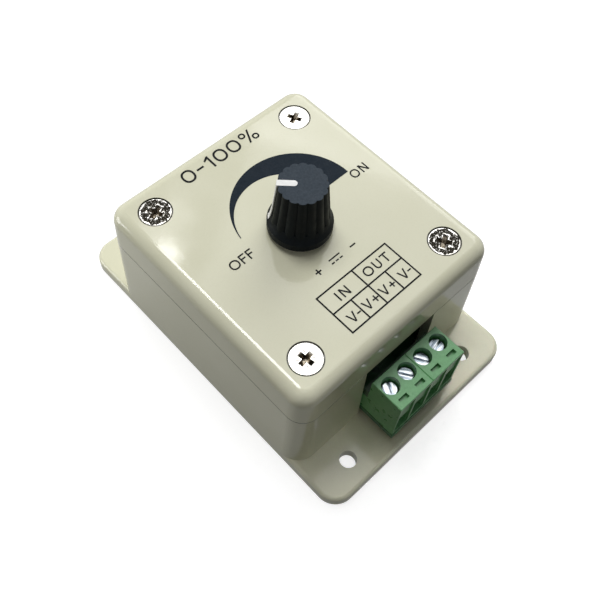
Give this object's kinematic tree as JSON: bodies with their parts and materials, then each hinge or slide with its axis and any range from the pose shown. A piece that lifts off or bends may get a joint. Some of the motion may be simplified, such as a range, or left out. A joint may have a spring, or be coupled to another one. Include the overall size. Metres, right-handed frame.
{
  "type": "rotary dimmer",
  "caption": "Box-shaped rotary dimmer with a fluted knob on top, screw flanges front and rear, and screw terminals for a supply and a lamp on its front.",
  "frame": {"origin": "centre of the underside, on the knob's axis", "axes": "+Z out of the cover along the knob's axis, -Y towards the terminals, +X to the right of the printed words"},
  "size_m": [0.059, 0.089, 0.0496],
  "materials": {
    "housing": "semi-gloss moulded plastic",
    "knob_black": "satin",
    "white_inlay": "matt",
    "terminal_green": "satin",
    "plated_steel": "zinc plated",
    "brass": "plain",
    "aluminium_shaft": "turned",
    "board": "solder mask",
    "black_moulding": "matt",
    "lead_insulation": "gloss",
    "capacitor_sleeve": "gloss",
    "resistor_body": "matt",
    "ink": "matt print"
  },
  "bodies": {
    "housing": {"base_housing": "housing", "cover_housing": "housing", "cover_screws": "plated_steel", "circuit_board": "board", "board_screws": "plated_steel", "terminal_block_in": "terminal_green", "terminal_block_out": "terminal_green", "current_bars": "brass", "pot_bushing": "brass", "pot_can": "plated_steel", "pot_track": "board", "pot_lugs": "plated_steel", "pot_leads": "lead_insulation", "pot_washer": "plated_steel", "pot_nut": "plated_steel", "dial_arc": "ink", "wiring_table": "ink", "transistor_body": "black_moulding", "transistor_frame": "plated_steel", "control_chip": "black_moulding", "chip_legs": "plated_steel", "electrolytic_capacitor": "capacitor_sleeve", "diode": "black_moulding", "resistors": "resistor_body", "disc_capacitors": "resistor_body"},
    "knob_rotor": {"knob": "knob_black", "knob_pointer": "white_inlay", "pot_shaft": "aluminium_shaft", "pot_rotor": "black_moulding", "pot_wiper": "brass"},
    "screw_1": {"clamp_screw_1": "plated_steel"},
    "clamp_1": {"wire_clamp_1": "plated_steel"},
    "screw_2": {"clamp_screw_2": "plated_steel"},
    "clamp_2": {"wire_clamp_2": "plated_steel"},
    "screw_3": {"clamp_screw_3": "plated_steel"},
    "clamp_3": {"wire_clamp_3": "plated_steel"},
    "screw_4": {"clamp_screw_4": "plated_steel"},
    "clamp_4": {"wire_clamp_4": "plated_steel"}
  },
  "joints": [
    {"name": "knob_turn", "type": "hinge", "parent": "housing", "child": "knob_rotor", "pos_m": [0, 0, 0.0345], "axis": [0, 0, 1], "range_deg": [-196, 104]},
    {"name": "clamp_screw_1_turn", "type": "hinge", "parent": "housing", "child": "screw_1", "pos_m": [-0.00712, -0.03635, 0.0185], "axis": [0, 0, 1], "range_deg": [-1656, 0]},
    {"name": "wire_clamp_1_slide", "type": "slide", "parent": "housing", "child": "clamp_1", "axis": [0, 0, 1], "range_m": [0, 0.0023]},
    {"name": "clamp_screw_2_turn", "type": "hinge", "parent": "housing", "child": "screw_2", "pos_m": [-0.00204, -0.03635, 0.0185], "axis": [0, 0, 1], "range_deg": [-1656, 0]},
    {"name": "wire_clamp_2_slide", "type": "slide", "parent": "housing", "child": "clamp_2", "axis": [0, 0, 1], "range_m": [0, 0.0023]},
    {"name": "clamp_screw_3_turn", "type": "hinge", "parent": "housing", "child": "screw_3", "pos_m": [0.00304, -0.03635, 0.0185], "axis": [0, 0, 1], "range_deg": [-1656, 0]},
    {"name": "wire_clamp_3_slide", "type": "slide", "parent": "housing", "child": "clamp_3", "axis": [0, 0, 1], "range_m": [0, 0.0023]},
    {"name": "clamp_screw_4_turn", "type": "hinge", "parent": "housing", "child": "screw_4", "pos_m": [0.00812, -0.03635, 0.0185], "axis": [0, 0, 1], "range_deg": [-1656, 0]},
    {"name": "wire_clamp_4_slide", "type": "slide", "parent": "housing", "child": "clamp_4", "axis": [0, 0, 1], "range_m": [0, 0.0023]}
  ],
  "couplings": [
    {"joint": "clamp_screw_1_turn", "follows": "wire_clamp_1_slide", "rad_per_m": -12566},
    {"joint": "clamp_screw_2_turn", "follows": "wire_clamp_2_slide", "rad_per_m": -12566},
    {"joint": "clamp_screw_3_turn", "follows": "wire_clamp_3_slide", "rad_per_m": -12566},
    {"joint": "clamp_screw_4_turn", "follows": "wire_clamp_4_slide", "rad_per_m": -12566}
  ]
}
